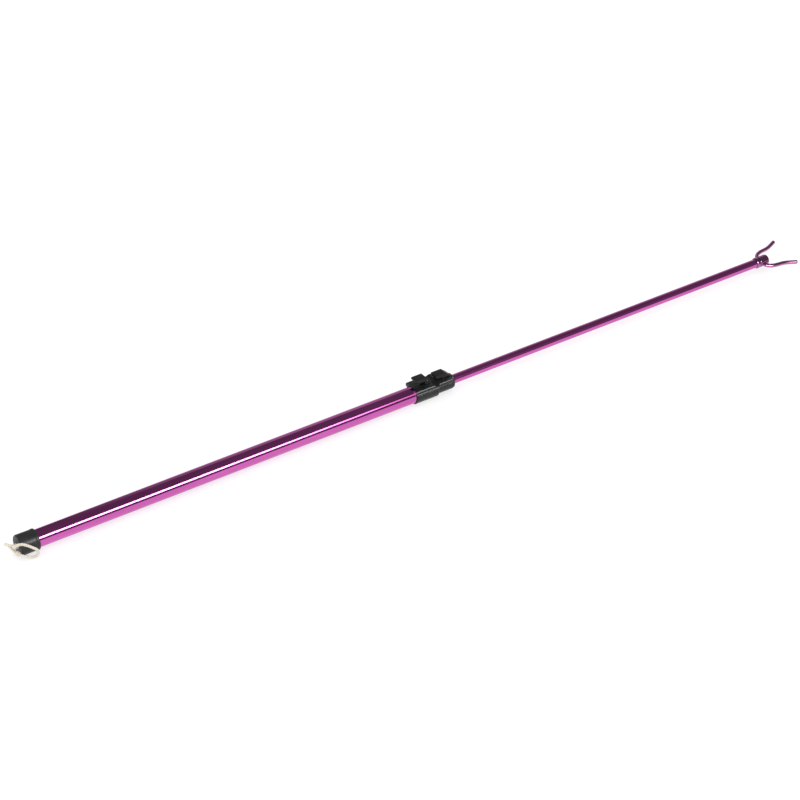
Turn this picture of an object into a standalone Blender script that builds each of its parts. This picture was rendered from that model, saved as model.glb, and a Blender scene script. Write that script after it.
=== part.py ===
"""Telescoping forked pole.

The pole lies along X: the capped thick end is at -X, the fork at +X, and +Z is up.
The origin is under the middle of the pole, on the plane that it rests on.
Places along the pole are measured from its middle, in metres.
"""

import math

import bmesh
import bpy
from mathutils import Matrix, Vector

# ---- driving dimensions (metres) -------------------------------------------

GAP = 0.0003                   # clearance kept between touching pieces
SIDES = 32                     # facets round a turned piece
REST_SIDES = 24                # facets round the cap and the lock, which the pole lies on
LENGTH = 1.161                 # cap end to prong tips
END_X = LENGTH / 2

CAP_R = 0.013
CAP_LENGTH = 0.0235
CAP_WALL = 0.003
AXIS_Z = CAP_R * math.cos(math.pi / REST_SIDES)   # the cap rests on its lowest facet

OUTER_R = 0.011
OUTER_BORE_R = 0.0098
INNER_R = 0.006
INNER_BORE_R = 0.005

LOCK_REAR_X = -0.035
LOCK_STEP_X = -0.0015
LOCK_FRONT_X = 0.0224
SLEEVE_R = 0.0124
NOSE_R = 0.0103
CHAMBER_R = 0.0086
TOP_HALF_WIDTH = 0.0134
TOP_Z = 0.0115                 # heights in the lock are above the pole's axis
TOP_UNDER_Z = 0.006
OUTER_FRONT_X = -0.019         # mouth of the outer tube, inside the lock

PIVOT_Z = -0.0086
REAR_PIVOT_X = -0.0125
FRONT_PIVOT_X = 0.007
PLATE_TILT = math.radians(6)
PLATE_THICK = 0.002
PLATE_R = 0.0082
PLATE_HOLE_R = 0.0066
TONGUE_WIDTH = 0.010

TAB_WIDTH = 0.012
TAB_RIVET_R = 0.0012

TAIL_X = -0.045                # rear end of the inner tube
RING_REAR_X = 0.5245
RING_FRONT_X = 0.5302
RING_R = 0.00745
HEAD_R = 0.0072
HEAD_FRONT_X = 0.5455
ROD_R = 0.0027
ROD_HOLE_X = 0.5355
FORK_ROLL = math.radians(9)

CORD_R = 0.00165
CORD_HOLE_R = 0.0021
CORD_HOLE_Y = 0.0028
KNOT_R = 0.0031
KNOT_LENGTH = 0.005


# ---- materials --------------------------------------------------------------

def make_material(name, color, roughness, metallic):
    material = bpy.data.materials.new(name)
    material.use_nodes = True
    shader = material.node_tree.nodes["Principled BSDF"]
    shader.inputs["Base Color"].default_value = (*color, 1.0)
    shader.inputs["Roughness"].default_value = roughness
    shader.inputs["Metallic"].default_value = metallic
    return material


# ---- mesh helpers -----------------------------------------------------------

def new_object(name, mesh_builder, material):
    """An object whose mesh is closed, with its faces pointing out."""
    bmesh.ops.recalc_face_normals(mesh_builder, faces=mesh_builder.faces)
    mesh = bpy.data.meshes.new(name)
    mesh_builder.to_mesh(mesh)
    mesh_builder.free()
    made = bpy.data.objects.new(name, mesh)
    bpy.context.scene.collection.objects.link(made)
    if material:
        mesh.materials.append(material)
    return made


def smooth(made, angle=math.radians(35)):
    made.data.shade_smooth()
    made.data.set_sharp_from_angle(angle=angle)
    return made


def turned(name, profile, material, sides=SIDES, bored=False):
    """Turn (x, radius) points about the pole's axis.

    A bored piece's profile is a closed outline; a solid one runs from axis to axis.
    """
    builder = bmesh.new()
    rings = []
    for x, radius in profile:
        if radius < 1e-9:
            rings.append([builder.verts.new((x, 0, AXIS_Z))])
            continue
        ring = []
        for k in range(sides):
            angle = (k + 0.5) * math.tau / sides
            y = radius * math.cos(angle)
            z = radius * math.sin(angle)
            ring.append(builder.verts.new((x, y, AXIS_Z + z)))
        rings.append(ring)
    pairs = list(zip(rings, rings[1:]))
    if bored:
        pairs.append((rings[-1], rings[0]))
    for first, second in pairs:
        for k in range(sides):
            n = (k + 1) % sides
            if len(first) == 1:
                builder.faces.new((first[0], second[k], second[n]))
            elif len(second) == 1:
                builder.faces.new((first[k], first[n], second[0]))
            else:
                builder.faces.new((first[k], first[n], second[n], second[k]))
    return smooth(new_object(name, builder, material))


def tube_profile(rear_x, front_x, outer_r, inner_r, chamfer=0.0):
    """Outline of a plain ring or tube, with its outer edges chamfered."""
    outline = [(rear_x, inner_r), (front_x, inner_r)]
    if chamfer:
        outline += [(front_x, outer_r - chamfer), (front_x - chamfer, outer_r)]
        outline += [(rear_x + chamfer, outer_r), (rear_x, outer_r - chamfer)]
    else:
        outline += [(front_x, outer_r), (rear_x, outer_r)]
    return outline


def arc(center_x, center_r, radius, start, end, steps):
    """Profile points on an arc, from angle start to angle end in degrees."""
    points = []
    for k in range(steps + 1):
        angle = math.radians(start + (end - start) * k / steps)
        points.append((center_x + radius * math.cos(angle), center_r + radius * math.sin(angle)))
    return points


def side_extrusion(name, outline, width, material):
    """Extrude a side view, (x, height above the axis) points, to both sides of y = 0."""
    builder = bmesh.new()
    near = [builder.verts.new((x, -width / 2, AXIS_Z + z)) for x, z in outline]
    far = [builder.verts.new((x, width / 2, AXIS_Z + z)) for x, z in outline]
    builder.faces.new(near)
    builder.faces.new(list(reversed(far)))
    for k in range(len(outline)):
        n = (k + 1) % len(outline)
        builder.faces.new((near[k], far[k], far[n], near[n]))
    return new_object(name, builder, material)


def block(name, low, high, material=None):
    builder = bmesh.new()
    bmesh.ops.create_cube(builder, size=1)
    for vert in builder.verts:
        for axis in range(3):
            share = vert.co[axis] + 0.5
            vert.co[axis] = low[axis] + (high[axis] - low[axis]) * share
    return new_object(name, builder, material)


def rod(name, start, end, radius, material=None, sides=16):
    """A straight round bar between two points."""
    start, end = Vector(start), Vector(end)
    turn = Vector((0, 0, 1)).rotation_difference(end - start).to_matrix().to_4x4()
    builder = bmesh.new()
    bmesh.ops.create_cone(builder, segments=sides, radius1=radius, radius2=radius,
                          depth=(end - start).length, cap_ends=True,
                          matrix=Matrix.Translation((start + end) / 2) @ turn)
    return smooth(new_object(name, builder, material))


def combine(target, tool, operation):
    """Boolean with a helper object, which is left out of the model."""
    tool.hide_render = True
    tool.display_type = "WIRE"
    change = target.modifiers.new(tool.name, "BOOLEAN")
    change.operation = operation
    change.solver = "EXACT"
    change.object = tool
    return target


def cut(target, tool):
    return combine(target, tool, "DIFFERENCE")


def bevel(target, width, segments=2, angle=math.radians(30)):
    edge = target.modifiers.new("edges", "BEVEL")
    edge.width = width
    edge.segments = segments
    edge.limit_method = "ANGLE"
    edge.angle_limit = angle
    return target


def smooth_route(points, per_span):
    """Points on a Catmull-Rom curve through a route's own points."""
    ends = [2 * points[0] - points[1]] + points + [2 * points[-1] - points[-2]]
    route = []
    for p0, p1, p2, p3 in zip(ends, ends[1:], ends[2:], ends[3:]):
        for k in range(per_span):
            t = k / per_span
            route.append(0.5 * (2 * p1 + (p2 - p0) * t + (2 * p0 - 5 * p1 + 4 * p2 - p3) * t * t
                                + (3 * p1 - p0 - 3 * p2 + p3) * t * t * t))
    route.append(points[-1])
    return route


def round_bar(name, route, radius, resolution, material):
    """A curve with a round bevel and filled caps."""
    curve = bpy.data.curves.new(name, "CURVE")
    curve.dimensions = "3D"
    curve.bevel_depth = radius
    curve.bevel_resolution = resolution
    curve.render_resolution_u = 0
    curve.use_fill_caps = True
    spline = curve.splines.new("POLY")
    spline.points.add(len(route) - 1)
    for point, place in zip(spline.points, route):
        point.co = (*place, 1.0)
    curve.materials.append(material)
    made = bpy.data.objects.new(name, curve)
    bpy.context.scene.collection.objects.link(made)
    return made


# ---- thick section ----------------------------------------------------------

def make_outer_tube(material):
    rear_x = -END_X + CAP_WALL + GAP
    outline = tube_profile(rear_x, OUTER_FRONT_X, OUTER_R, OUTER_BORE_R)
    tube = turned("outer_tube", outline, material, bored=True)
    for place in RIVET_PLACES:
        cut(tube, rivet_bar("tube_hole_" + place, place, GAP))
    return tube


def make_end_cap(material):
    """A slip-on cap: rounded closed end, slightly thicker rim, two holes for the cord."""
    closed_x = -END_X
    rim_x = closed_x + CAP_LENGTH
    bore_r = OUTER_R + GAP
    nose = 0.0025
    lip = 0.0032
    outline = [(closed_x + CAP_WALL, 0), (closed_x + CAP_WALL, bore_r), (rim_x, bore_r)]
    outline += [(rim_x, CAP_R - 0.0003), (rim_x - 0.0004, CAP_R), (rim_x - lip, CAP_R)]
    outline += [(rim_x - lip - 0.0004, CAP_R - 0.0003), (closed_x + 2 * nose, CAP_R - 0.0001)]
    outline += [(closed_x + nose, CAP_R)] + arc(closed_x + nose, CAP_R - nose, nose, 90, 180, 3)[1:]
    outline += [(closed_x, 0)]
    cap = turned("end_cap", outline, material, sides=REST_SIDES)
    for side in (-1, 1):
        y = side * CORD_HOLE_Y
        hole = rod("cord_hole_%d" % side, (closed_x - 0.002, y, AXIS_Z),
                   (closed_x + CAP_WALL + 0.002, y, AXIS_Z), CORD_HOLE_R)
        cut(cap, hole)
    return cap


def make_guide_bush(material):
    rear_x = OUTER_FRONT_X - 0.012
    outline = tube_profile(rear_x, OUTER_FRONT_X, OUTER_BORE_R - GAP, INNER_R + GAP, 0.0004)
    bush = turned("guide_bush", outline, material, bored=True)
    for place in RIVET_PLACES:
        cut(bush, rivet_bar("bush_hole_" + place, place, GAP))
    return bush


# ---- lock housing -----------------------------------------------------------

RIVET_PLACES = ("under", "side")
RIVET_X = OUTER_FRONT_X - 0.006
RIVET_R = 0.0015
RIVET_INNER = 0.0078
RIVET_OUTER = 0.0121


def rivet_bar(name, place, clearance=0.0, material=None):
    """A rivet's bar, straight down or out to +Y; a cutter is a little larger."""
    out = Vector((0, 0, -1)) if place == "under" else Vector((0, 1, 0))
    center = Vector((RIVET_X, 0, AXIS_Z))
    reach = RIVET_OUTER + (0.002 if clearance else 0.0)
    return rod(name, center + out * (RIVET_INNER - clearance), center + out * reach,
               RIVET_R + clearance, material, sides=12)


def make_lock_housing(material):
    front = LOCK_FRONT_X
    body = turned("lock_housing", [
        (LOCK_REAR_X, 0), (LOCK_REAR_X, SLEEVE_R - 0.0004), (LOCK_REAR_X + 0.0004, SLEEVE_R),
        (LOCK_STEP_X - 0.0008, SLEEVE_R), (LOCK_STEP_X, SLEEVE_R - 0.0008), (LOCK_STEP_X, NOSE_R),
        (front - 0.001, NOSE_R), (front, NOSE_R - 0.001), (front, 0)], material, sides=REST_SIDES)

    crest_z = AXIS_Z + TOP_Z - 0.0004
    cut(body, block("crest", (LOCK_REAR_X - 0.002, -0.014, crest_z), (front, 0.014, crest_z + 0.01)))

    slope_top_x = 0.0165
    top = side_extrusion("lock_top", [
        (LOCK_REAR_X, TOP_UNDER_Z), (front, TOP_UNDER_Z), (front, TOP_UNDER_Z + 0.0015),
        (slope_top_x, TOP_Z), (LOCK_REAR_X, TOP_Z)], 2 * TOP_HALF_WIDTH, None)
    bevel(top, 0.0014, 3)
    combine(body, top, "UNION")

    valley_x = -0.0055
    valley_depth = 0.0025
    valley_r = 0.0043
    valley_z = AXIS_Z + TOP_Z - valley_depth + valley_r
    cut(body, rod("valley", (valley_x, -0.02, valley_z), (valley_x, 0.02, valley_z), valley_r,
                  sides=24))

    shoulder_x = OUTER_FRONT_X + GAP
    cut(body, turned("lock_bore", [
        (LOCK_REAR_X - 0.002, 0), (LOCK_REAR_X - 0.002, OUTER_R + GAP), (shoulder_x, OUTER_R + GAP),
        (shoulder_x, CHAMBER_R), (front + 0.002, CHAMBER_R), (front + 0.002, 0)], None))

    slot_half = TONGUE_WIDTH / 2 + 0.0006
    for name, low_x, high_x in (("rear_slot", -0.0164, -0.0106), ("front_slot", 0.005, 0.0114)):
        low = (low_x, -slot_half, AXIS_Z + 0.005)
        high = (high_x, slot_half, AXIS_Z + TOP_Z + 0.002)
        cut(body, block(name, low, high))
    for place in RIVET_PLACES:
        cut(body, rivet_bar("housing_hole_" + place, place, GAP))
    return body


def make_nose_bush(material):
    """A flanged bush that closes the lock's chamber round the inner tube."""
    rear_x = LOCK_FRONT_X - 0.006
    flange_x = LOCK_FRONT_X + GAP
    front_x = flange_x + 0.0014
    bore = INNER_R + GAP
    return turned("nose_bush", [
        (rear_x, bore), (front_x, bore), (front_x, NOSE_R - 0.0012), (front_x - 0.0006, NOSE_R - 0.0006),
        (flange_x, NOSE_R - 0.0006), (flange_x, CHAMBER_R - GAP), (rear_x, CHAMBER_R - GAP)],
        material, bored=True)


def make_lock_spring(material):
    """An open coil round the inner tube, between the two lock plates."""
    rear_x = REAR_PIVOT_X + 0.0018
    front_x = FRONT_PIVOT_X - 0.0018
    turns = 5
    per_turn = 14
    coil_r = 0.0071
    route = []
    for k in range(turns * per_turn + 1):
        share = k / (turns * per_turn)
        angle = math.tau * turns * share
        x = rear_x + (front_x - rear_x) * share
        route.append(Vector((x, coil_r * math.cos(angle), AXIS_Z + coil_r * math.sin(angle))))
    return round_bar("lock_spring", route, 0.0005, 1, material)


# ---- finger tabs and their plates -------------------------------------------

def tilted(made, pivot_x, tilt):
    """Turn a piece drawn upright over its pivot to its resting tilt, in its mesh."""
    pivot = Vector((pivot_x, 0, AXIS_Z + PIVOT_Z))
    turn = Matrix.Translation(pivot) @ Matrix.Rotation(tilt, 4, "Y") @ Matrix.Translation(-pivot)
    made.data.transform(turn)
    return made


def make_lock_plate(name, pivot_x, tilt, tongue_top, material):
    """A steel disc with the tube's hole, and a tongue up into its finger tab."""
    rear_x = pivot_x - PLATE_THICK / 2
    front_x = pivot_x + PLATE_THICK / 2
    disc = [(rear_x, 0), (rear_x, PLATE_R), (front_x, PLATE_R), (front_x, 0)]
    plate = tilted(turned(name, disc, material), pivot_x, tilt)
    half = TONGUE_WIDTH / 2
    tongue = block(name + "_tongue", (rear_x, -half, AXIS_Z + 0.004), (front_x, half, AXIS_Z + tongue_top))
    combine(plate, tilted(tongue, pivot_x, tilt), "UNION")
    hole = rod(name + "_hole", (pivot_x - 0.01, 0, AXIS_Z), (pivot_x + 0.01, 0, AXIS_Z), PLATE_HOLE_R,
               sides=SIDES)
    cut(plate, tilted(hole, pivot_x, tilt))
    return plate


def tongue_pocket(name, pivot_x, tilt, top):
    half = TONGUE_WIDTH / 2 + GAP
    pocket = block(name, (pivot_x - PLATE_THICK / 2 - GAP, -half, AXIS_Z + 0.008),
                   (pivot_x + PLATE_THICK / 2 + GAP, half, AXIS_Z + top + GAP))
    return tilted(pocket, pivot_x, tilt)


def make_rear_tab(material):
    """Thumb pad that overhangs to the rear, on a stem over the rear plate's tongue."""
    outline = [(-0.0325, 0.0196), (-0.0325, 0.0223), (-0.0168, 0.0223), (-0.0158, 0.0166),
               (-0.0116, 0.0164), (-0.0116, 0.0119), (-0.0186, 0.0119), (-0.0196, 0.0167),
               (-0.0295, 0.0167)]
    return bevel(side_extrusion("rear_finger_tab", outline, TAB_WIDTH, material), 0.0006)


def make_front_tab(material):
    """Finger pad with a lip to the rear and a long slope to the front."""
    outline = [(-0.0025, 0.0151), (-0.0025, 0.0182), (0.0122, 0.0182), (0.0202, 0.0119),
               (0.0202, 0.0108), (0.0188, 0.0108), (0.0168, 0.0121), (0.0070, 0.0119),
               (0.0055, 0.0134), (0.0002, 0.0134)]
    return bevel(side_extrusion("front_finger_tab", outline, TAB_WIDTH, material), 0.0004)


def make_lever(kind, materials):
    """One finger tab with its lock plate and the rivet that joins them."""
    if kind == "rear":
        tab = make_rear_tab(materials["plastic"])
        pivot_x, tilt, top, rivet_z = REAR_PIVOT_X, -PLATE_TILT, 0.0158, 0.0146
        rivet_from, rivet_to, hole_from, hole_to = -0.0182, -0.0120, -0.022, -0.009
    else:
        tab = make_front_tab(materials["plastic"])
        pivot_x, tilt, top, rivet_z = FRONT_PIVOT_X, PLATE_TILT, 0.0164, 0.0156
        rivet_from, rivet_to, hole_from, hole_to = -0.0005, 0.0120, -0.006, 0.0123
    plate = make_lock_plate(kind + "_lock_plate", pivot_x, tilt, top + 0.0006, materials["steel"])
    cut(tab, tongue_pocket(kind + "_pocket", pivot_x, tilt, top + 0.0006))
    z = AXIS_Z + rivet_z
    for part in (tab, plate):
        hole = rod("%s_%s_hole" % (kind, part.name), (hole_from, 0, z), (hole_to, 0, z),
                   TAB_RIVET_R + GAP, sides=12)
        cut(part, hole)
    rod(kind + "_tab_rivet", (rivet_from, 0, z), (rivet_to, 0, z), TAB_RIVET_R, materials["steel"],
        sides=12)


# ---- thin section -----------------------------------------------------------

def make_tail(materials):
    """What is on the inner tube's tail: the plug, the glide bush and its stop ring."""
    plug_rear_x = TAIL_X - GAP - 0.0037
    turned("tail_plug", [
        (plug_rear_x, 0), (plug_rear_x, 0.008), (plug_rear_x + 0.0005, 0.0085), (TAIL_X - GAP, 0.0085),
        (TAIL_X - GAP, INNER_BORE_R - GAP), (TAIL_X + 0.012, INNER_BORE_R - GAP),
        (TAIL_X + 0.012, 0)], materials["plastic"])
    bore = INNER_R + GAP
    glide = tube_profile(TAIL_X, TAIL_X + 0.0118, OUTER_BORE_R - GAP, bore, 0.0005)
    turned("glide_bush", glide, materials["white"], bored=True)
    ring = tube_profile(TAIL_X + 0.0121, TAIL_X + 0.0137, 0.0078, bore, 0.0003)
    turned("glide_stop_ring", ring, materials["steel"], bored=True)


def make_inner_tube(material):
    front_x = RING_FRONT_X - 0.0007
    tube = turned("inner_tube", tube_profile(TAIL_X, front_x, INNER_R, INNER_BORE_R), material,
                  bored=True)
    return cut(tube, head_pin_bar("tube_pin_hole", GAP))


def make_ferrule(material):
    """The bead ring over the end of the inner tube."""
    bore = INNER_R + GAP
    rear_x, front_x = RING_REAR_X, RING_FRONT_X
    middle = (rear_x + front_x) / 2
    half = (front_x - rear_x) / 2
    crown = 0.0011
    outline = [(rear_x, bore), (front_x, bore)]
    steps = 8
    for k in range(steps + 1):
        angle = math.pi * k / steps
        outline.append((middle + half * math.cos(angle), RING_R - crown + crown * math.sin(angle)))
    return turned("fork_ferrule", outline, material, bored=True)


def head_pin_bar(name, clearance=0.0, material=None):
    x = (RING_REAR_X + RING_FRONT_X) / 2 - 0.0003
    reach = INNER_R - 0.0001 + (0.001 if clearance else 0.0)
    return rod(name, (x, 0, AXIS_Z - reach), (x, 0, AXIS_Z + reach), 0.001 + clearance, material,
               sides=12)


def make_fork_head(material):
    """A round-nosed plug: a spigot in the tube, a cross hole for the rod, a screw hole."""
    rear_x = RING_FRONT_X + GAP
    front_x = HEAD_FRONT_X
    nose = 0.0028
    spigot_r = INNER_BORE_R - GAP
    outline = [(rear_x - 0.020, 0), (rear_x - 0.020, spigot_r), (rear_x, spigot_r),
               (rear_x, HEAD_R - 0.0006), (rear_x + 0.0006, HEAD_R)]
    outline += arc(front_x - nose, HEAD_R - nose, nose, 90, 0, 5) + [(front_x, 0)]
    head = turned("fork_head", outline, material)
    across = Vector((0, math.cos(FORK_ROLL), math.sin(FORK_ROLL))) * 0.02
    center = Vector((ROD_HOLE_X, 0, AXIS_Z))
    cut(head, rod("fork_rod_hole", center - across, center + across, ROD_R + GAP, sides=24))
    cut(head, head_pin_bar("head_pin_hole", GAP))
    cut(head, rod("grub_hole", (ROD_HOLE_X, 0, AXIS_Z), (front_x + 0.002, 0, AXIS_Z), 0.0023))
    return head


def make_grub_screw(material):
    """The set screw in the head's nose that grips the rod."""
    rear_x = ROD_HOLE_X + ROD_R + GAP
    front_x = HEAD_FRONT_X - 0.0006
    screw = rod("fork_grub_screw", (rear_x, 0, AXIS_Z), (front_x, 0, AXIS_Z), 0.002, material)
    socket = rod("grub_socket", (front_x - 0.002, 0, AXIS_Z), (front_x + 0.001, 0, AXIS_Z), 0.0011, sides=6)
    return cut(screw, socket)


def make_fork_rod(material):
    """One rod through the head, bent forwards and flared at both tips."""
    # (distance along the pole from the head's cross hole, distance out from its axis)
    half = [(0.0, 0.0), (0.0, 0.004), (0.0, 0.0074), (0.0026, 0.0114), (0.0068, 0.0141),
            (0.0115, 0.0156), (0.0165, 0.0164), (0.0223, 0.0170), (0.0276, 0.0181),
            (0.0330, 0.0200), (0.0385, 0.0223), (0.0439, 0.0246)]
    mirrored = [(x, -out) for x, out in reversed(half[1:])]
    up, side = math.sin(FORK_ROLL), math.cos(FORK_ROLL)
    points = [Vector((ROD_HOLE_X + x, out * side, AXIS_Z + out * up)) for x, out in mirrored + half]
    return round_bar("fork_rod", smooth_route(points, 2), ROD_R, 4, material)


# ---- hanging cord -----------------------------------------------------------

# (along the pole from the cap's closed end, across, height above the axis), from the hole on the
# +Y side round to the one on the -Y side
CORD_POINTS = [
    (0.0010, 0.0028, 0.0), (-0.0040, 0.0029, 0.0004), (-0.0074, 0.0042, 0.0012),
    (-0.0095, 0.0074, 0.0012), (-0.0093, 0.0116, -0.0012), (-0.0068, 0.0144, -0.0045),
    (-0.0040, 0.0134, -0.0071), (-0.0032, 0.0086, -0.0078), (-0.0042, 0.0030, -0.0064),
    (-0.0048, -0.0028, -0.0046), (-0.0040, -0.0084, -0.0042), (-0.0012, -0.0130, -0.0053),
    (0.0040, -0.0157, -0.0075), (0.0100, -0.0168, -0.0098), (0.0148, -0.0174, -0.0096),
    (0.0172, -0.0174, -0.0060), (0.0158, -0.0168, -0.0016), (0.0110, -0.0160, 0.0030),
    (0.0054, -0.0152, 0.0075), (-0.0002, -0.0140, 0.0108), (-0.0054, -0.0116, 0.0104),
    (-0.0078, -0.0072, 0.0062), (-0.0046, -0.0033, 0.0012), (0.0010, -0.0028, 0.0)]
KNOT_POINT = 10                # the route's own point that the knot sits on


def cord_route():
    return [Vector((x - END_X, y, z + AXIS_Z)) for x, y, z in CORD_POINTS]


def make_hang_cord(material):
    return round_bar("hang_cord", smooth_route(cord_route(), 2), CORD_R, 2, material)


def make_cord_knot(material):
    """A barrel round the cord, standing for the knot that joins its ends."""
    half = KNOT_LENGTH / 2
    bore = CORD_R + 2 * GAP
    outline = [(-half, bore), (half, bore), (half, KNOT_R - 0.0006), (half - 0.0006, KNOT_R - 0.0001),
               (0.0, KNOT_R), (-half + 0.0006, KNOT_R - 0.0001), (-half, KNOT_R - 0.0006)]
    knot = turned("cord_knot", outline, material, sides=16, bored=True)
    route = cord_route()
    along = route[KNOT_POINT + 1] - route[KNOT_POINT - 1]
    turn = Vector((1, 0, 0)).rotation_difference(along).to_matrix().to_4x4()
    to_axis = Matrix.Translation((0, 0, -AXIS_Z))
    knot.data.transform(Matrix.Translation(route[KNOT_POINT]) @ turn @ to_axis)
    return knot


# ---- the whole pole ---------------------------------------------------------

def main():
    for old in list(bpy.data.objects):
        bpy.data.objects.remove(old)
    materials = {
        "purple": make_material("purple_anodised", (0.23, 0.03, 0.24), 0.16, 1.0),
        "plastic": make_material("black_plastic", (0.04, 0.042, 0.042), 0.45, 0.0),
        "white": make_material("white_plastic", (0.75, 0.75, 0.72), 0.4, 0.0),
        "steel": make_material("steel", (0.55, 0.55, 0.56), 0.3, 1.0),
        "cord": make_material("cotton_cord", (0.82, 0.77, 0.64), 0.9, 0.0),
    }
    make_outer_tube(materials["purple"])
    make_end_cap(materials["plastic"])
    make_guide_bush(materials["white"])
    make_lock_housing(materials["plastic"])
    for place in RIVET_PLACES:
        rivet_bar("lock_rivet_" + place, place, material=materials["steel"])
    make_nose_bush(materials["plastic"])
    make_lock_spring(materials["steel"])
    make_lever("rear", materials)
    make_lever("front", materials)
    make_tail(materials)
    make_inner_tube(materials["purple"])
    make_ferrule(materials["purple"])
    make_fork_head(materials["purple"])
    head_pin_bar("fork_head_pin", material=materials["steel"])
    make_grub_screw(materials["steel"])
    make_fork_rod(materials["purple"])
    make_hang_cord(materials["cord"])
    make_cord_knot(materials["cord"])


main()
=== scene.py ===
import math

import bmesh
import bpy
from mathutils import Matrix, Vector


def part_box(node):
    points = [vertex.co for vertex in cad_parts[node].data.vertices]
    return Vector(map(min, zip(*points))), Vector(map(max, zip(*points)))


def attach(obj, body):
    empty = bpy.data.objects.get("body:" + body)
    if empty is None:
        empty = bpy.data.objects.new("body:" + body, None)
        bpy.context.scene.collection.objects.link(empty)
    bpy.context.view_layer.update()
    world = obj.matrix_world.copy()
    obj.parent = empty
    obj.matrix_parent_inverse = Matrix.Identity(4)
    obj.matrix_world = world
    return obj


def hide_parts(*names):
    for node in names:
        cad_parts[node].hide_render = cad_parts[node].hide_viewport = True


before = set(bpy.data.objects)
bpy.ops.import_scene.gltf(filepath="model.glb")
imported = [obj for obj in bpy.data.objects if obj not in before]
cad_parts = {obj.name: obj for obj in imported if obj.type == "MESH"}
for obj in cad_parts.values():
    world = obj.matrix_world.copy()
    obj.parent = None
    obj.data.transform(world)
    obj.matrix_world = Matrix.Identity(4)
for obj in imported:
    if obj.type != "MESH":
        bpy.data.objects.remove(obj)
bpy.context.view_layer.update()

# ---- sizes shared with the CAD (metres) ------------------------------------

ROUND = 96                     # sides of a turned piece
FIT = 0.0003                   # gap between touching pieces
CAP_LOW, CAP_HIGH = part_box("end_cap")
CAP_R = 0.013
REST_SIDES = 24                # flats round the CAD's cap; the pole lies on one
AXIS_Z = CAP_R * math.cos(math.pi / REST_SIDES)
CAP_X = CAP_LOW.x
OUTER_R, OUTER_BORE_R = 0.011, 0.0098
INNER_R, INNER_BORE_R = 0.006, 0.005
CORD_HOLE_Y, CORD_HOLE_R = 0.0028, 0.0021
ROD_R = 0.0027
ROD_HOLE_X = 0.5355
HEAD_R = 0.0072
RING_REAR_X, RING_FRONT_X = 0.5245, 0.5302
PIN_X = (RING_REAR_X + RING_FRONT_X) / 2 - 0.0003
PIN_R = 0.001
FORK_ROLL = math.radians(9)
NOSE_R = 0.0103
CHAMBER_R = 0.0086
LOCK_STEP_X, LOCK_FRONT_X = -0.0015, 0.0224
OUTER_FRONT_X = -0.019         # mouth of the thick tube, inside the lock
TOP_Z = 0.0115                 # lock's flat top, above the axis
REAR_PIVOT_X, FRONT_PIVOT_X, PIVOT_Z = -0.0125, 0.007, -0.0086
PLATE_TILT = math.radians(6)
PLATE_THICK, TONGUE_WIDTH = 0.002, 0.010
TAB_WIDTH = 0.012
TAB_RIVET_R = 0.0012
PAST = 0.002                   # how far a cutter reaches past the face that it opens


# ---- camera ----------------------------------------------------------------

CAMERA_PLACE = (-1.5232, -2.1403, 1.7563)
CAMERA_DOWN, CAMERA_HEADING = 33.89, -34.49    # degrees below level, and round from +Y


def make_camera():
    lens = bpy.data.cameras.new("camera")
    lens.lens = 114.0
    lens.sensor_width = 36.0
    lens.clip_end = 50.0
    camera = bpy.data.objects.new("camera", lens)
    bpy.context.scene.collection.objects.link(camera)
    camera.location = CAMERA_PLACE
    camera.rotation_euler = (math.radians(90 - CAMERA_DOWN), 0.0, math.radians(CAMERA_HEADING))
    bpy.context.scene.camera = camera


make_camera()


# ---- mesh helpers ----------------------------------------------------------

def link(obj):
    bpy.context.scene.collection.objects.link(obj)
    return obj


def from_bmesh(name, builder, sharp=math.radians(32)):
    bmesh.ops.recalc_face_normals(builder, faces=builder.faces)
    mesh = bpy.data.meshes.new(name)
    builder.to_mesh(mesh)
    builder.free()
    mesh.shade_smooth()
    mesh.set_sharp_from_angle(angle=sharp)
    return link(bpy.data.objects.new(name, mesh))


def held_flat(profile, bored):
    """Adds a point near each end of a long straight run, so its shading stays straight."""
    hold, long_run = 0.0006, 0.004
    points = []
    ends = profile[1:] + profile[:1] if bored else profile[1:]
    for start, end in zip(profile, ends):
        points.append(start)
        run = math.dist(start, end)
        if run > long_run and min(start[1], end[1]) > 0:
            for share in (hold / run, 1 - hold / run):
                points.append((start[0] + (end[0] - start[0]) * share,
                               start[1] + (end[1] - start[1]) * share))
    return points if bored else points + [profile[-1]]


def turned(name, profile, bored=False):
    """Turns (x, radius) points about the pole's axis. A bored profile is a closed outline."""
    builder = bmesh.new()
    rings = []
    for x, radius in held_flat(profile, bored):
        if radius < 1e-9:
            rings.append([builder.verts.new((x, 0, AXIS_Z))])
            continue
        ring = []
        for k in range(ROUND):
            angle = (k + 0.5) * math.tau / ROUND
            y, z = radius * math.cos(angle), AXIS_Z + radius * math.sin(angle)
            ring.append(builder.verts.new((x, y, z)))
        rings.append(ring)
    pairs = list(zip(rings, rings[1:]))
    if bored:
        pairs.append((rings[-1], rings[0]))
    for first, second in pairs:
        for k in range(ROUND):
            n = (k + 1) % ROUND
            if len(first) == 1:
                builder.faces.new((first[0], second[k], second[n]))
            elif len(second) == 1:
                builder.faces.new((first[k], first[n], second[0]))
            else:
                builder.faces.new((first[k], first[n], second[n], second[k]))
    return from_bmesh(name, builder)


def arc(center_x, center_r, radius, start, end, steps):
    points = []
    for k in range(steps + 1):
        angle = math.radians(start + (end - start) * k / steps)
        points.append((center_x + radius * math.cos(angle), center_r + radius * math.sin(angle)))
    return points


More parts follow.
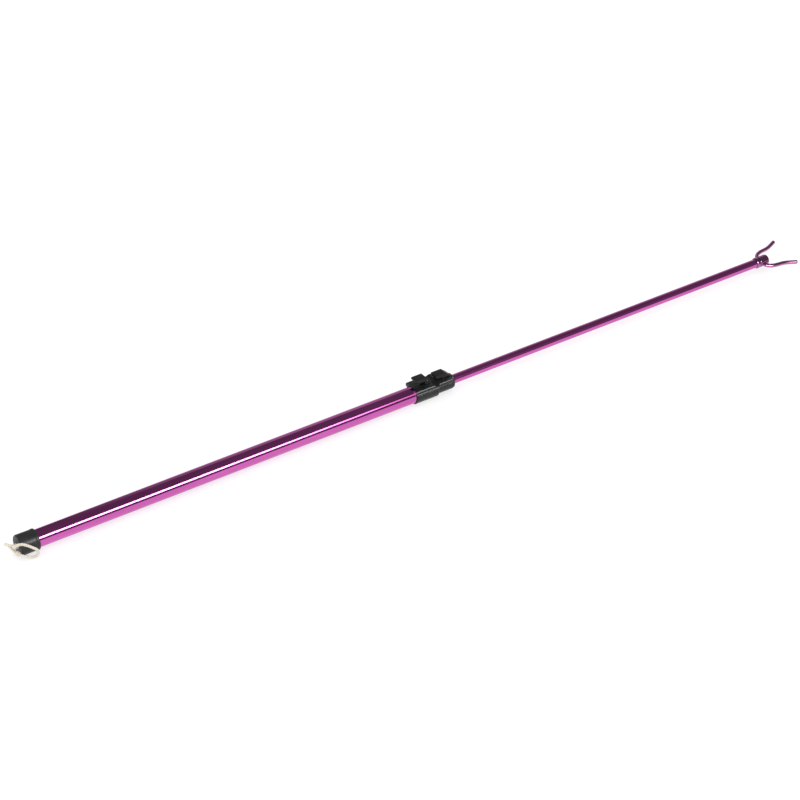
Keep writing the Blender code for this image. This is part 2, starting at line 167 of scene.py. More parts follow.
def rounded_tube(rear_x, front_x, outer_r, inner_r, edge):
    """Closed outline of a tube with small round edges at both ends."""
    outline = arc(front_x - edge, inner_r + edge, edge, -90, 0, 3)
    outline += arc(front_x - edge, outer_r - edge, edge, 0, 90, 3)
    outline += arc(rear_x + edge, outer_r - edge, edge, 90, 180, 3)
    outline += arc(rear_x + edge, inner_r + edge, edge, 180, 270, 3)
    return outline


def side_extrusion(name, outline, width):
    builder = bmesh.new()
    near = [builder.verts.new((x, -width / 2, AXIS_Z + z)) for x, z in outline]
    far = [builder.verts.new((x, width / 2, AXIS_Z + z)) for x, z in outline]
    builder.faces.new(near)
    builder.faces.new(list(reversed(far)))
    for k in range(len(outline)):
        n = (k + 1) % len(outline)
        builder.faces.new((near[k], far[k], far[n], near[n]))
    return from_bmesh(name, builder)


def block(name, low, high):
    builder = bmesh.new()
    bmesh.ops.create_cube(builder, size=1)
    for vert in builder.verts:
        for axis in range(3):
            vert.co[axis] = low[axis] + (high[axis] - low[axis]) * (vert.co[axis] + 0.5)
    return from_bmesh(name, builder)


def rod(name, start, end, radius, sides):
    start, end = Vector(start), Vector(end)
    turn = Vector((0, 0, 1)).rotation_difference(end - start).to_matrix().to_4x4()
    builder = bmesh.new()
    bmesh.ops.create_cone(builder, segments=sides, radius1=radius, radius2=radius,
                          depth=(end - start).length, cap_ends=True,
                          matrix=Matrix.Translation((start + end) / 2) @ turn)
    return from_bmesh(name, builder)


def settle(obj, sharp=math.radians(32)):
    """Applies an object's modifiers to its mesh."""
    graph = bpy.context.evaluated_depsgraph_get()
    graph.update()
    mesh = bpy.data.meshes.new_from_object(obj.evaluated_get(graph))
    obj.modifiers.clear()
    obj.data = mesh
    mesh.shade_smooth()
    mesh.set_sharp_from_angle(angle=sharp)


def carve(target, tools, operation="DIFFERENCE"):
    for tool in tools:
        change = target.modifiers.new(tool.name, "BOOLEAN")
        change.operation = operation
        change.solver = "EXACT"
        change.object = tool
    settle(target)
    for tool in tools:
        bpy.data.objects.remove(tool)


def round_edges(obj, width, segments, angle=32):
    edge = obj.modifiers.new("edges", "BEVEL")
    edge.width = width
    edge.segments = segments
    edge.limit_method = "ANGLE"
    edge.angle_limit = math.radians(angle)
    edge.use_clamp_overlap = True
    settle(obj, math.radians(40))


def smooth_route(points, per_span):
    ends = [2 * points[0] - points[1]] + points + [2 * points[-1] - points[-2]]
    route = []
    for p0, p1, p2, p3 in zip(ends, ends[1:], ends[2:], ends[3:]):
        for k in range(per_span):
            t = k / per_span
            route.append(0.5 * (2 * p1 + (p2 - p0) * t + (2 * p0 - 5 * p1 + 4 * p2 - p3) * t * t
                                + (3 * p1 - p0 - 3 * p2 + p3) * t * t * t))
    route.append(points[-1])
    return route


def even_route(route, step):
    """The same line with its points an even distance apart."""
    lengths = [0.0]
    for a, b in zip(route, route[1:]):
        lengths.append(lengths[-1] + (b - a).length)
    count = max(2, round(lengths[-1] / step))
    points, k = [], 0
    for n in range(count + 1):
        place = lengths[-1] * n / count
        while k < len(route) - 2 and lengths[k + 1] < place:
            k += 1
        share = (place - lengths[k]) / (lengths[k + 1] - lengths[k])
        points.append(route[k].lerp(route[k + 1], share))
    return points, lengths[-1]


def swept(name, route, radius_at, sides, uv_length=1.0):
    """A tube along a route. radius_at(distance, angle) gives its surface; the ends are closed."""
    builder = bmesh.new()
    uv = builder.loops.layers.uv.new("UVMap")
    tangents = []
    for k in range(len(route)):
        ahead, behind = route[min(k + 1, len(route) - 1)], route[max(k - 1, 0)]
        tangents.append((ahead - behind).normalized())
    side = tangents[0].orthogonal().normalized()
    rings, places, place = [], [], 0.0
    for k, (point, along) in enumerate(zip(route, tangents)):
        if k:
            place += (point - route[k - 1]).length
            side = (side - along * side.dot(along)).normalized()
        other = along.cross(side)
        ring = []
        for n in range(sides):
            angle = math.tau * n / sides
            radius = radius_at(place, angle)
            out = side * math.cos(angle) + other * math.sin(angle)
            ring.append(builder.verts.new(point + radius * out))
        rings.append(ring)
        places.append(place)
    for k in range(len(rings) - 1):
        for n in range(sides):
            m = (n + 1) % sides
            face = builder.faces.new((rings[k][n], rings[k][m], rings[k + 1][m], rings[k + 1][n]))
            corners = ((n, k), (n + 1, k), (n + 1, k + 1), (n, k + 1))
            for loop, (across, along_k) in zip(face.loops, corners):
                loop[uv].uv = (across / sides, places[along_k] / uv_length)
    builder.faces.new(rings[0])
    builder.faces.new(list(reversed(rings[-1])))
    return from_bmesh(name, builder, math.radians(75))


# ---- materials -------------------------------------------------------------

class Nodes:
    """A new material's node tree, with its shader."""

    def __init__(self, name):
        self.material = bpy.data.materials.new(name)
        self.material.use_nodes = True
        self.tree = self.material.node_tree
        self.shader = self.tree.nodes["Principled BSDF"]
        self.coordinates = self.tree.nodes.new("ShaderNodeTexCoord")

    def join(self, source, target):
        self.tree.links.new(source, target)

    def mapped(self, scale, output="Object"):
        mapping = self.tree.nodes.new("ShaderNodeMapping")
        mapping.inputs["Scale"].default_value = scale
        self.join(self.coordinates.outputs[output], mapping.inputs["Vector"])
        return mapping.outputs["Vector"]

    def noise(self, vector, scale, detail, roughness=0.5, distortion=0.0):
        noise = self.tree.nodes.new("ShaderNodeTexNoise")
        noise.inputs["Scale"].default_value = scale
        noise.inputs["Detail"].default_value = detail
        noise.inputs["Roughness"].default_value = roughness
        noise.inputs["Distortion"].default_value = distortion
        self.join(vector, noise.inputs["Vector"])
        return noise.outputs["Fac"]

    def ramp(self, source, stops):
        ramp = self.tree.nodes.new("ShaderNodeValToRGB")
        elements = ramp.color_ramp.elements
        elements[0].position, elements[1].position = stops[0][0], stops[-1][0]
        elements[0].color, elements[1].color = (*stops[0][1], 1.0), (*stops[-1][1], 1.0)
        for place, color in stops[1:-1]:
            elements.new(place).color = (*color, 1.0)
        self.join(source, ramp.inputs["Fac"])
        return ramp.outputs["Color"]

    def between(self, source, low, high, from_low, from_high):
        span = self.tree.nodes.new("ShaderNodeMapRange")
        span.inputs["From Min"].default_value = from_low
        span.inputs["From Max"].default_value = from_high
        span.inputs["To Min"].default_value = low
        span.inputs["To Max"].default_value = high
        self.join(source, span.inputs["Value"])
        return span.outputs["Result"]

    def bump(self, height, strength, distance, normal=None):
        bump = self.tree.nodes.new("ShaderNodeBump")
        bump.inputs["Strength"].default_value = strength
        bump.inputs["Distance"].default_value = distance
        self.join(height, bump.inputs["Height"])
        if normal:
            self.join(normal, bump.inputs["Normal"])
        return bump.outputs["Normal"]

    def set(self, name, value):
        self.shader.inputs[name].default_value = value


def anodised(name, deep, pale, rough):
    """Polished dyed aluminium: faint drawing lines along the tube, cloudy dye, fine scuffs."""
    n = Nodes(name)
    n.set("Metallic", 1.0)
    lines = n.noise(n.mapped((3.0, 900.0, 900.0)), 1.0, 4.0, 0.6)
    cloud = n.noise(n.mapped((9.0, 60.0, 60.0)), 1.0, 2.0, 0.5)
    n.join(n.ramp(cloud, ((0.3, deep), (0.7, pale))), n.shader.inputs["Base Color"])
    scuffs = n.noise(n.mapped((160.0, 500.0, 500.0)), 1.0, 5.0, 0.7, 0.6)
    n.join(n.between(scuffs, rough * 0.8, rough * 1.5, 0.35, 0.75), n.shader.inputs["Roughness"])
    n.join(n.bump(lines, 0.10, 0.00002), n.shader.inputs["Normal"])
    n.set("Coat Weight", 0.25)
    n.set("Coat Roughness", 0.05)
    return n.material


def moulded(name, dark, light, rough, grain=0.2):
    """Moulded plastic: fine spark-eroded grain, slight flow marks, worn shine in patches."""
    n = Nodes(name)
    flow = n.noise(n.mapped((60.0, 140.0, 140.0)), 1.0, 4.0, 0.55, 0.4)
    n.join(n.ramp(flow, ((0.3, dark), (0.72, light))), n.shader.inputs["Base Color"])
    patch = n.noise(n.mapped((110.0, 110.0, 110.0)), 1.0, 3.0)
    n.join(n.between(patch, rough - 0.07, rough + 0.09, 0.3, 0.7), n.shader.inputs["Roughness"])
    fine = n.noise(n.mapped((2600.0, 2600.0, 2600.0)), 1.0, 2.0, 0.6)
    broad = n.noise(n.mapped((420.0, 420.0, 420.0)), 1.0, 2.0)
    n.join(n.bump(fine, grain, 0.00006, n.bump(broad, 0.10, 0.0001)), n.shader.inputs["Normal"])
    n.set("Specular IOR Level", 0.25)
    return n.material


def steel(name):
    n = Nodes(name)
    n.set("Metallic", 1.0)
    lines = n.noise(n.mapped((1800.0, 160.0, 1800.0)), 1.0, 4.0, 0.6)
    n.join(n.ramp(lines, ((0.3, (0.42, 0.42, 0.43)), (0.75, (0.62, 0.62, 0.63)))),
           n.shader.inputs["Base Color"])
    n.join(n.between(lines, 0.24, 0.4, 0.3, 0.7), n.shader.inputs["Roughness"])
    n.join(n.bump(lines, 0.15, 0.00003), n.shader.inputs["Normal"])
    return n.material


def cotton(name, twist_turns):
    """Natural cotton: fine yarns across each strand, painted shade in the gaps between yarns, faint
    stains, fuzz.
    """
    n = Nodes(name)
    uv = n.mapped((twist_turns, 1.0, 1.0), "UV")
    yarn = n.tree.nodes.new("ShaderNodeTexWave")
    yarn.wave_type = "BANDS"
    yarn.bands_direction = "DIAGONAL"
    yarn.inputs["Scale"].default_value = 1.0
    yarn.inputs["Distortion"].default_value = 1.4
    yarn.inputs["Detail"].default_value = 2.0
    n.join(uv, yarn.inputs["Vector"])
    fuzz = n.noise(n.mapped((2400.0, 2400.0, 2400.0)), 1.0, 4.0, 0.65)
    stain = n.noise(n.mapped((160.0, 160.0, 160.0)), 1.0, 3.0)
    base = n.ramp(stain, ((0.3, (0.93, 0.85, 0.70)), (0.7, (0.97, 0.93, 0.83))))
    # painted shade: the yarn bands darken the colour in the gaps between yarns
    shade = n.ramp(yarn.outputs["Fac"], ((0.0, (0.84, 0.79, 0.72)), (0.45, (1.0, 1.0, 1.0))))
    mix = n.tree.nodes.new("ShaderNodeMix")
    mix.data_type = "RGBA"
    mix.blend_type = "MULTIPLY"
    mix.inputs["Factor"].default_value = 0.8
    n.join(base, mix.inputs["A"])
    n.join(shade, mix.inputs["B"])
    n.join(mix.outputs["Result"], n.shader.inputs["Base Color"])
    n.join(n.bump(fuzz, 0.5, 0.00012, n.bump(yarn.outputs["Fac"], 0.7, 0.0002)),
           n.shader.inputs["Normal"])
    n.set("Roughness", 0.92)
    n.set("Sheen Weight", 0.2)
    n.set("Sheen Roughness", 0.5)
    return n.material


PURPLE = anodised("purple_anodised_tube", (0.52, 0.098, 0.39), (0.62, 0.130, 0.47), 0.09)
PURPLE_FORK = anodised("purple_anodised_fork", (0.36, 0.12, 0.29), (0.46, 0.17, 0.38), 0.15)
PURPLE_ROD = anodised("purple_anodised_rod", (0.42, 0.15, 0.34), (0.56, 0.22, 0.46), 0.12)
BLACK = moulded("black_plastic_lock", (0.009, 0.010, 0.010), (0.015, 0.016, 0.016), 0.30)
BLACK_CAP = moulded("black_plastic_cap", (0.022, 0.023, 0.023), (0.032, 0.033, 0.033), 0.38)
BLACK_TAB = moulded("black_plastic_tabs", (0.008, 0.008, 0.008), (0.013, 0.013, 0.013), 0.44, 0.28)
WHITE = moulded("white_plastic_bush", (0.70, 0.70, 0.66), (0.80, 0.80, 0.76), 0.40)
STEEL = steel("plain_steel")
COTTON = cotton("natural_cotton", 60.0)


def dress(obj, material):
    obj.data.materials.clear()
    obj.data.materials.append(material)


def piece(obj, body, material, slot, *nodes):
    """Finishes a piece: material, body and the CAD nodes that it stands for. The slot argument is
    not used.
    """
    dress(obj, material)
    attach(obj, body)
    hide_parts(*nodes)


# ---- hanging cord ----------------------------------------------------------

# along the pole from the cap's closed end, across, height above the axis
CORD_POINTS = [
    (0.0010, 0.0028, 0.0), (-0.0040, 0.0029, 0.0004), (-0.0074, 0.0042, 0.0012),
    (-0.0095, 0.0074, 0.0012), (-0.0093, 0.0116, -0.0012), (-0.0068, 0.0144, -0.0045),
    (-0.0040, 0.0134, -0.0071), (-0.0032, 0.0086, -0.0078), (-0.0042, 0.0030, -0.0064),
    (-0.0048, -0.0028, -0.0046), (-0.0040, -0.0084, -0.0042), (-0.0012, -0.0130, -0.0053),
    (0.0040, -0.0157, -0.0075), (0.0100, -0.0168, -0.0098), (0.0148, -0.0174, -0.0096),
    (0.0172, -0.0174, -0.0060), (0.0158, -0.0168, -0.0016), (0.0110, -0.0160, 0.0030),
    (0.0054, -0.0152, 0.0075), (-0.0002, -0.0140, 0.0108), (-0.0054, -0.0116, 0.0104),
    (-0.0078, -0.0072, 0.0062), (-0.0046, -0.0033, 0.0012), (0.0010, -0.0028, 0.0)]
KNOT_POINT = 10
CORD_LAY = 0.0078              # length of one turn of the rope's strands


def cord_route():
    return [Vector((x + CAP_X, y, z + AXIS_Z)) for x, y, z in CORD_POINTS]


def strand_surface(place, angle):
    """Surface of three strands twisted together, a little fluffed where they meet."""
    strand, spread = 0.00092, 0.00086
    turn = angle - math.tau * place / CORD_LAY
    off = (turn + math.pi / 3) % (math.tau / 3) - math.pi / 3
    across = spread * math.sin(off)
    out = spread * math.cos(off) + math.sqrt(max(strand * strand - across * across, 0.0))
    return max(out, 0.00118)


def make_cord():
    route, length = even_route(smooth_route(cord_route(), 24), 0.00035)
    rope = swept("hang_cord_rope", route, strand_surface, 36, CORD_LAY)
    piece(rope, "handle_section", COTTON, "cotton_cord", "hang_cord")
    points = cord_route()
    center = points[KNOT_POINT]
    along = (points[KNOT_POINT + 1] - points[KNOT_POINT - 1]).normalized()
    side = along.orthogonal().normalized()
    other = along.cross(side)
    turns, reach, steps = 2.6, 0.0019, 90
    wrap_r, tuck, tuck_from = 0.00218, 0.0008, 0.86
    wrap = []
    for k in range(steps + 1):
        share = k / steps
        angle = math.tau * turns * share
        near_end = max(0.0, abs(share - 0.5) * 2 - tuck_from) / (1 - tuck_from)
        radius = wrap_r - tuck * near_end
        wrap.append(center + along * (reach * (2 * share - 1))
                    + radius * (side * math.cos(angle) + other * math.sin(angle)))

    def wrap_surface(place, angle):
        yarn_r, fluting, twist = 0.00082, 0.07, 2400
        return yarn_r * (1 + fluting * math.cos(3 * angle - place * twist))

    knot = swept("hang_cord_knot", wrap, wrap_surface, 18, CORD_LAY)
    piece(knot, "handle_section", COTTON, "cotton_cord", "cord_knot")
    even_route(route, 0.002)[0]


make_cord()


# ---- thick section ---------------------------------------------------------

RIVET_X = -0.025
RIVET_R = 0.0015


def rivet_holes(name):
    tools, inside, outside = [], 0.0075, 0.0145
    for out in (Vector((0, 0, -1)), Vector((0, 1, 0))):
        center = Vector((RIVET_X, 0, AXIS_Z))
        tools.append(rod(name, center + out * inside, center + out * outside, RIVET_R + FIT, 24))
    return tools


def make_outer_tube():
    low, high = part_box("outer_tube")
    tube = turned("outer_tube_shell", rounded_tube(low.x, high.x, OUTER_R, OUTER_BORE_R, 0.0003),
                  bored=True)
    carve(tube, rivet_holes("hole"))
    piece(tube, "handle_section", PURPLE, "purple_anodised", "outer_tube")


def make_end_cap():
    """Slip-on cap: rounded closed end, a raised rim, two holes for the cord."""
    rim_x = CAP_HIGH.x
    wall, nose, lip = 0.003, 0.0025, 0.0032
    bore = OUTER_R + FIT
    outline = [(CAP_X + wall, 0), (CAP_X + wall, bore - 0.0004), (CAP_X + wall + 0.0004, bore),
               (rim_x - 0.0004, bore), (rim_x, bore + 0.0003)]
    outline += arc(rim_x - 0.0005, CAP_R - 0.0005, 0.0005, 0, 90, 4)
    outline += arc(rim_x - lip + 0.0003, CAP_R - 0.0003, 0.0003, 90, 180, 3)
    outline += [(rim_x - lip - 0.0002, CAP_R - 0.00045), (rim_x - lip - 0.0012, CAP_R - 0.0003),
                (CAP_X + 2 * nose, CAP_R - 0.0001)]
    outline += arc(CAP_X + nose, CAP_R - nose, nose, 90, 180, 10)
    outline += [(CAP_X, 0)]
    cap = turned("end_cap_shell", outline)
    holes = [rod("hole", (CAP_X - PAST, side * CORD_HOLE_Y, AXIS_Z),
                 (CAP_X + wall + PAST, side * CORD_HOLE_Y, AXIS_Z), CORD_HOLE_R, 40)
             for side in (-1, 1)]
    carve(cap, holes)
    piece(cap, "handle_section", BLACK_CAP, "black_plastic", "end_cap")


# ---- lock ------------------------------------------------------------------

def make_lock_housing():
    low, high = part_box("lock_housing")
    rear, front = low.x, high.x
    sleeve, step_edge, nose_edge = 0.0124, 0.0008, 0.0012
    top_half, top_under, slope_x = 0.0134, 0.006, 0.0165
    crest_half, crest_drop, wide, high_up = 0.014, 0.0004, 0.02, 0.04
    body = turned("lock_housing_shell", [(rear, 0)]
                  + arc(rear + 0.0006, sleeve - 0.0006, 0.0006, 180, 90, 4)
                  + arc(LOCK_STEP_X - step_edge, sleeve - step_edge, step_edge, 90, 0, 5)
                  + [(LOCK_STEP_X, NOSE_R)]
                  + arc(front - nose_edge, NOSE_R - nose_edge, nose_edge, 90, 0, 5)
                  + [(front, 0)])
    crest_z = AXIS_Z + TOP_Z - crest_drop
    carve(body, [block("crest", (rear - PAST, -crest_half, crest_z),
                       (front, crest_half, crest_z + 0.01))])
    top = block("top", (rear - 0.01, -top_half, AXIS_Z + top_under),
                (front + 0.01, top_half, AXIS_Z + TOP_Z))
    round_edges(top, 0.0021, 6)
    carve(top, [block("rear_end", (rear - wide, -wide, 0), (rear, wide, high_up)),
                block("front_end", (front, -wide, 0), (front + wide, wide, high_up)),
                side_extrusion("slope", [(front + PAST, top_under + 0.0009), (slope_x, TOP_Z),
                                         (slope_x, wide), (front + PAST, wide)], 2 * wide)])
    carve(body, [top], "UNION")
    valley_x, valley_r, valley_depth = -0.0055, 0.0043, 0.0025
    valley_z = AXIS_Z + TOP_Z - valley_depth + valley_r
    shoulder = OUTER_FRONT_X + FIT
    bore = turned("bore", [
        (rear - PAST, 0), (rear - PAST, OUTER_R + FIT), (shoulder, OUTER_R + FIT),
        (shoulder, CHAMBER_R), (front + PAST, CHAMBER_R), (front + PAST, 0)])
    slots = []
    slot_half = TONGUE_WIDTH / 2 + 0.0006
    for low_x, high_x in ((-0.0164, -0.0106), (0.005, 0.0114)):
        slots.append(block("slot", (low_x, -slot_half, AXIS_Z + 0.005),
                           (high_x, slot_half, AXIS_Z + TOP_Z + PAST)))
    valley = rod("valley", (valley_x, -wide, valley_z), (valley_x, wide, valley_z), valley_r, 64)
    carve(body, [valley, bore] + slots)
    carve(body, rivet_holes("hole"))
    round_edges(body, 0.00022, 2, 38)
    piece(body, "handle_section", BLACK, "black_plastic", "lock_housing")


def make_nose_bush():
    low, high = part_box("nose_bush")
    bore, flange_r, flange_x = INNER_R + FIT, NOSE_R - 0.0006, LOCK_FRONT_X + FIT
    bush = turned("nose_bush_ring", [
        (low.x, bore), (high.x - 0.0003, bore), (high.x, bore + 0.0003)]
        + arc(high.x - 0.0006, flange_r - 0.0006, 0.0006, 0, 90, 4)
        + [(flange_x, flange_r), (flange_x, CHAMBER_R - FIT), (low.x, CHAMBER_R - FIT)], bored=True)
    piece(bush, "handle_section", BLACK, "black_plastic", "nose_bush")


def tilted(obj, pivot_x, tilt):
    pivot = Vector((pivot_x, 0, AXIS_Z + PIVOT_Z))
    obj.data.transform(Matrix.Translation(pivot) @ Matrix.Rotation(tilt, 4, "Y")
                       @ Matrix.Translation(-pivot))
    return obj


def make_tab(name, body, outline, pivot_x, tilt, top, rivet_z, hole_from, hole_to):
    """A finger tab with rounded edges, hollow over its plate's tongue and drilled for its rivet."""
    tab = side_extrusion(name, outline, TAB_WIDTH)
    round_edges(tab, 0.0007, 4, 20)
    half_thick, half_width = PLATE_THICK / 2 + FIT, TONGUE_WIDTH / 2 + FIT
    pocket = block("pocket", (pivot_x - half_thick, -half_width, AXIS_Z + 0.008),
                   (pivot_x + half_thick, half_width, AXIS_Z + top + FIT))
    hole = rod("hole", (hole_from, 0, AXIS_Z + rivet_z), (hole_to, 0, AXIS_Z + rivet_z),
               TAB_RIVET_R + FIT, 24)
    carve(tab, [tilted(pocket, pivot_x, tilt), hole])
    piece(tab, body, BLACK_TAB, "black_plastic", name.replace("_pad", "_tab"))


def make_tabs():
    rear = [(-0.0325, 0.0196), (-0.0325, 0.0223), (-0.0168, 0.0223), (-0.0158, 0.0166),
            (-0.0116, 0.0164), (-0.0116, 0.0119), (-0.0186, 0.0119), (-0.0196, 0.0167),
            (-0.0295, 0.0167)]
    front = [(-0.0025, 0.0151), (-0.0025, 0.0182), (0.0122, 0.0182), (0.0202, 0.0119),
             (0.0202, 0.0108), (0.0188, 0.0108), (0.0168, 0.0121), (0.0070, 0.0119),
             (0.0055, 0.0134), (0.0002, 0.0134)]
    make_tab("rear_finger_pad", "rear_tab", rear, REAR_PIVOT_X, -PLATE_TILT,
             top=0.0164, rivet_z=0.0146, hole_from=-0.022, hole_to=-0.009)
    make_tab("front_finger_pad", "front_tab", front, FRONT_PIVOT_X, PLATE_TILT,
             top=0.0170, rivet_z=0.0156, hole_from=-0.006, hole_to=0.0123)


# ---- thin section ----------------------------------------------------------

def pin_hole():
    reach = 0.007
    return rod("pin_hole", (PIN_X, 0, AXIS_Z - reach), (PIN_X, 0, AXIS_Z + reach), PIN_R + FIT, 24)


def make_inner_tube():
    low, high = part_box("inner_tube")
    tube = turned("inner_tube_shell", rounded_tube(low.x, high.x, INNER_R, INNER_BORE_R, 0.0002),
                  bored=True)
    carve(tube, [pin_hole()])
    piece(tube, "fork_section", PURPLE, "purple_anodised", "inner_tube")


def make_ferrule():
    low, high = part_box("fork_ferrule")
    bore, ring_r, crown = INNER_R + FIT, 0.00745, 0.0011
    middle, half = (low.x + high.x) / 2, (high.x - low.x) / 2
    outline = [(low.x, bore), (high.x, bore)]
    steps = 16
    for k in range(steps + 1):
        angle = math.pi * k / steps
        outline.append((middle + half * math.cos(angle), ring_r - crown + crown * math.sin(angle)))
    piece(turned("fork_ferrule_bead", outline, bored=True), "fork_section", PURPLE_FORK,
          "purple_anodised", "fork_ferrule")


def make_fork_head():
    low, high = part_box("fork_head")
    rear_x = RING_FRONT_X + FIT
    nose, spigot, grub_hole_r, rod_reach = 0.0028, INNER_BORE_R - FIT, 0.0023, 0.02
    outline = [(low.x, 0), (low.x, spigot - 0.0003), (low.x + 0.0003, spigot), (rear_x, spigot)]
    outline += arc(rear_x + 0.0006, HEAD_R - 0.0006, 0.0006, 180, 90, 4)
    outline += arc(high.x - nose, HEAD_R - nose, nose, 90, 0, 10) + [(high.x, 0)]
    head = turned("fork_head_plug", outline)
    across = Vector((0, math.cos(FORK_ROLL), math.sin(FORK_ROLL))) * rod_reach
    center = Vector((ROD_HOLE_X, 0, AXIS_Z))
    carve(head, [
        rod("rod_hole", center - across, center + across, ROD_R + FIT, 48),
        pin_hole(),
        rod("grub_hole", (ROD_HOLE_X, 0, AXIS_Z), (high.x + PAST, 0, AXIS_Z), grub_hole_r, 32)])
    piece(head, "fork_section", PURPLE_FORK, "purple_anodised", "fork_head")


def make_fork_rod():
    """The bent rod, with its tips rounded over."""
    half = [(0.0, 0.0), (0.0, 0.004), (0.0, 0.0074), (0.0026, 0.0114), (0.0068, 0.0141),
            (0.0115, 0.0156), (0.0165, 0.0164), (0.0223, 0.0170), (0.0276, 0.0181),
            (0.0330, 0.0200), (0.0385, 0.0223), (0.0439, 0.0246)]
    mirrored = [(x, -out) for x, out in reversed(half[1:])]
    up, side = math.sin(FORK_ROLL), math.cos(FORK_ROLL)
    points = [Vector((ROD_HOLE_X + x, out * side, AXIS_Z + out * up)) for x, out in mirrored + half]
    route, length = even_route(smooth_route(points, 16), 0.0004)
    tip, taper = 0.0014, 0.42

    def surface(place, angle):
        inset = max(tip - min(place, length - place), 0.0) / tip
        return ROD_R * (1 - taper * (1 - math.sqrt(max(1 - inset * inset, 0.0))))

    piece(swept("fork_rod_bent", route, surface, 40), "fork_section", PURPLE_ROD,
          "purple_anodised", "fork_rod")


make_outer_tube()
make_end_cap()
make_lock_housing()
make_nose_bush()
make_tabs()
make_inner_tube()
make_ferrule()
make_fork_head()
make_fork_rod()

# carried-over CAD nodes
KEPT = {
    "guide_bush": WHITE, "glide_bush": WHITE, "tail_plug": BLACK_CAP,
    "lock_spring": STEEL, "rear_lock_plate": STEEL, "front_lock_plate": STEEL,
    "lock_rivet_under": STEEL, "lock_rivet_side": STEEL, "rear_tab_rivet": STEEL,
    "front_tab_rivet": STEEL, "glide_stop_ring": STEEL, "fork_head_pin": STEEL,
    "fork_grub_screw": STEEL,
}
for node_name, material in KEPT.items():
    dress(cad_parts[node_name], material)


# ---- floor, light and view -------------------------------------------------

# brightness of the two panels, at places along the pole
BACK_STOPS = ((-2.0, 0.10), (0.15, 0.13), (0.38, 0.34), (0.66, 0.5), (2.6, 0.5))
STRIP_STOPS = ((-1.6, 20.0), (0.42, 20.0), (0.66, 9.0), (0.75, 6.5), (0.80, 4.0), (0.86, 2.0),
               (0.92, 1.7), (1.0, 0.3), (1.9, 0.2))
PANEL_REACH = 1.8              # from the pole's axis to the panels
EDGE_RADIANCE = 18.0


def make_floor():
    builder = bmesh.new()
    bmesh.ops.create_grid(builder, x_segments=1, y_segments=1, size=15.0)
    floor = from_bmesh("floor", builder)
    n = Nodes("floor_paper")
    grain = n.noise(n.mapped((30.0, 30.0, 30.0)), 1.0, 3.0)
    n.join(n.ramp(grain, ((0.2, (0.345, 0.345, 0.345)), (0.8, (0.355, 0.355, 0.355)))),
           n.shader.inputs["Base Color"])
    n.set("Roughness", 0.9)
    n.set("Specular IOR Level", 0.0)
    n.set("Emission Color", (1.0, 1.0, 1.0, 1.0))
    n.set("Emission Strength", 0.72)
    dress(floor, n.material)


def aim(obj, place, target):
    obj.location = place
    obj.rotation_euler = (Vector(target) - Vector(place)).to_track_quat("-Z", "Y").to_euler()


def make_sun(name, strength, spread, place):
    sun = bpy.data.lights.new(name, "SUN")
    sun.energy = strength
    sun.angle = math.radians(spread)
    lamp = link(bpy.data.objects.new(name, sun))
    aim(lamp, place, (0, 0, 0))
    lamp.visible_glossy = False


def make_world(ambient, reflected):
    """Soft light from all round; reflections see a darker room than matt surfaces do."""
    world = bpy.data.worlds.new("studio")
    world.use_nodes = True
    tree = world.node_tree
    background = tree.nodes["Background"]
    background.inputs["Color"].default_value = (1.0, 1.0, 1.0, 1.0)
    path = tree.nodes.new("ShaderNodeLightPath")
    share = tree.nodes.new("ShaderNodeMapRange")
    share.inputs["To Min"].default_value = ambient
    share.inputs["To Max"].default_value = reflected
    tree.links.new(path.outputs["Is Glossy Ray"], share.inputs["Value"])
    tree.links.new(share.outputs["Result"], background.inputs["Strength"])
    bpy.context.scene.world = world


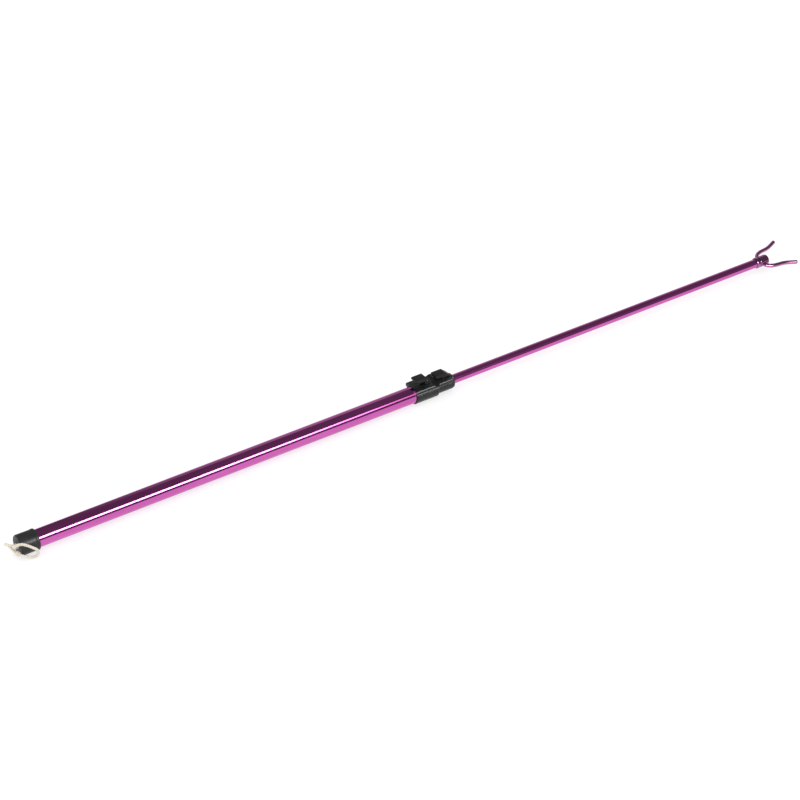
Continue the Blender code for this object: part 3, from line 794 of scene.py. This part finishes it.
def make_soft_panel(name, angle_rear, angle_front, half_height, stops):
    """A long soft panel along the pole, seen only in reflections.

    Its angle round the pole is 0 level on the camera's side and 90 overhead. stops gives its
    brightness at places along the pole.
    """
    rear_x, front_x = stops[0][0], stops[-1][0]
    builder = bmesh.new()
    rows = []
    for share in (0.0, 0.25, 0.5, 0.75, 1.0):
        angle = math.radians(angle_rear + (angle_front - angle_rear) * share)
        out = Vector((0, -math.cos(angle), math.sin(angle)))
        rise = Vector((0, math.sin(angle), math.cos(angle)))
        center = Vector((rear_x + (front_x - rear_x) * share, 0, AXIS_Z)) + out * PANEL_REACH
        rows.append([builder.verts.new(center - rise * half_height),
                     builder.verts.new(center + rise * half_height)])
    for low, high in zip(rows, rows[1:]):
        builder.faces.new((low[0], high[0], high[1], low[1]))
    panel = from_bmesh(name, builder)
    n = Nodes(name + "_glow")
    n.tree.nodes.remove(n.shader)
    output = n.tree.nodes["Material Output"]
    glow = n.tree.nodes.new("ShaderNodeEmission")
    parts = n.tree.nodes.new("ShaderNodeSeparateXYZ")
    n.join(n.coordinates.outputs["Object"], parts.inputs["Vector"])
    place = n.between(parts.outputs["X"], 0.0, 1.0, rear_x, front_x)
    brightest = max(level for _, level in stops)
    levels = n.ramp(place, [((x - rear_x) / (front_x - rear_x), (level / brightest,) * 3)
                            for x, level in stops])
    n.join(levels, glow.inputs["Color"])
    glow.inputs["Strength"].default_value = brightest
    n.join(glow.outputs["Emission"], output.inputs["Surface"])
    dress(panel, n.material)
    panel.visible_camera = False
    panel.visible_diffuse = False
    panel.visible_shadow = False


def make_edge_light(receivers):
    """A broad light that only the lock housing and nose bush mirror, along their upper edges."""
    strip = bpy.data.lights.new("edge_strip", "AREA")
    strip.shape = "RECTANGLE"
    strip.size, strip.size_y = 3.0, 2.2
    strip.energy = EDGE_RADIANCE * strip.size * strip.size_y * math.pi
    lamp = link(bpy.data.objects.new("edge_strip", strip))
    angle, reach, along = math.radians(42), 1.7, 0.7
    out = Vector((0, -math.cos(angle), math.sin(angle)))
    across = out.cross(Vector((1, 0, 0)))
    lamp.matrix_world = (Matrix.Translation(Vector((along, 0, AXIS_Z)) + out * reach)
                         @ Matrix((Vector((1, 0, 0)), across, out)).transposed().to_4x4())
    lamp.visible_camera = False
    lamp.visible_diffuse = False
    group = bpy.data.collections.new("edge_lit")
    for obj in receivers:
        group.objects.link(obj)
    lamp.light_linking.receiver_collection = group


make_floor()
make_world(ambient=0.85, reflected=0.148)
make_sun("key", strength=0.55, spread=60, place=(-1.0, -0.8, 2.6))
make_sun("fill", strength=0.25, spread=90, place=(1.5, 1.2, 2.5))
make_soft_panel("near_strip", angle_rear=33.0, angle_front=32.0, half_height=0.21,
                stops=STRIP_STOPS)
make_soft_panel("back_panel", angle_rear=152.0, angle_front=152.0, half_height=0.75,
                stops=BACK_STOPS)
make_edge_light([obj for obj in bpy.data.objects
                 if obj.type == "MESH" and obj.data.materials
                 and obj.data.materials[0] == BLACK])

bpy.context.scene.view_settings.view_transform = "Standard"
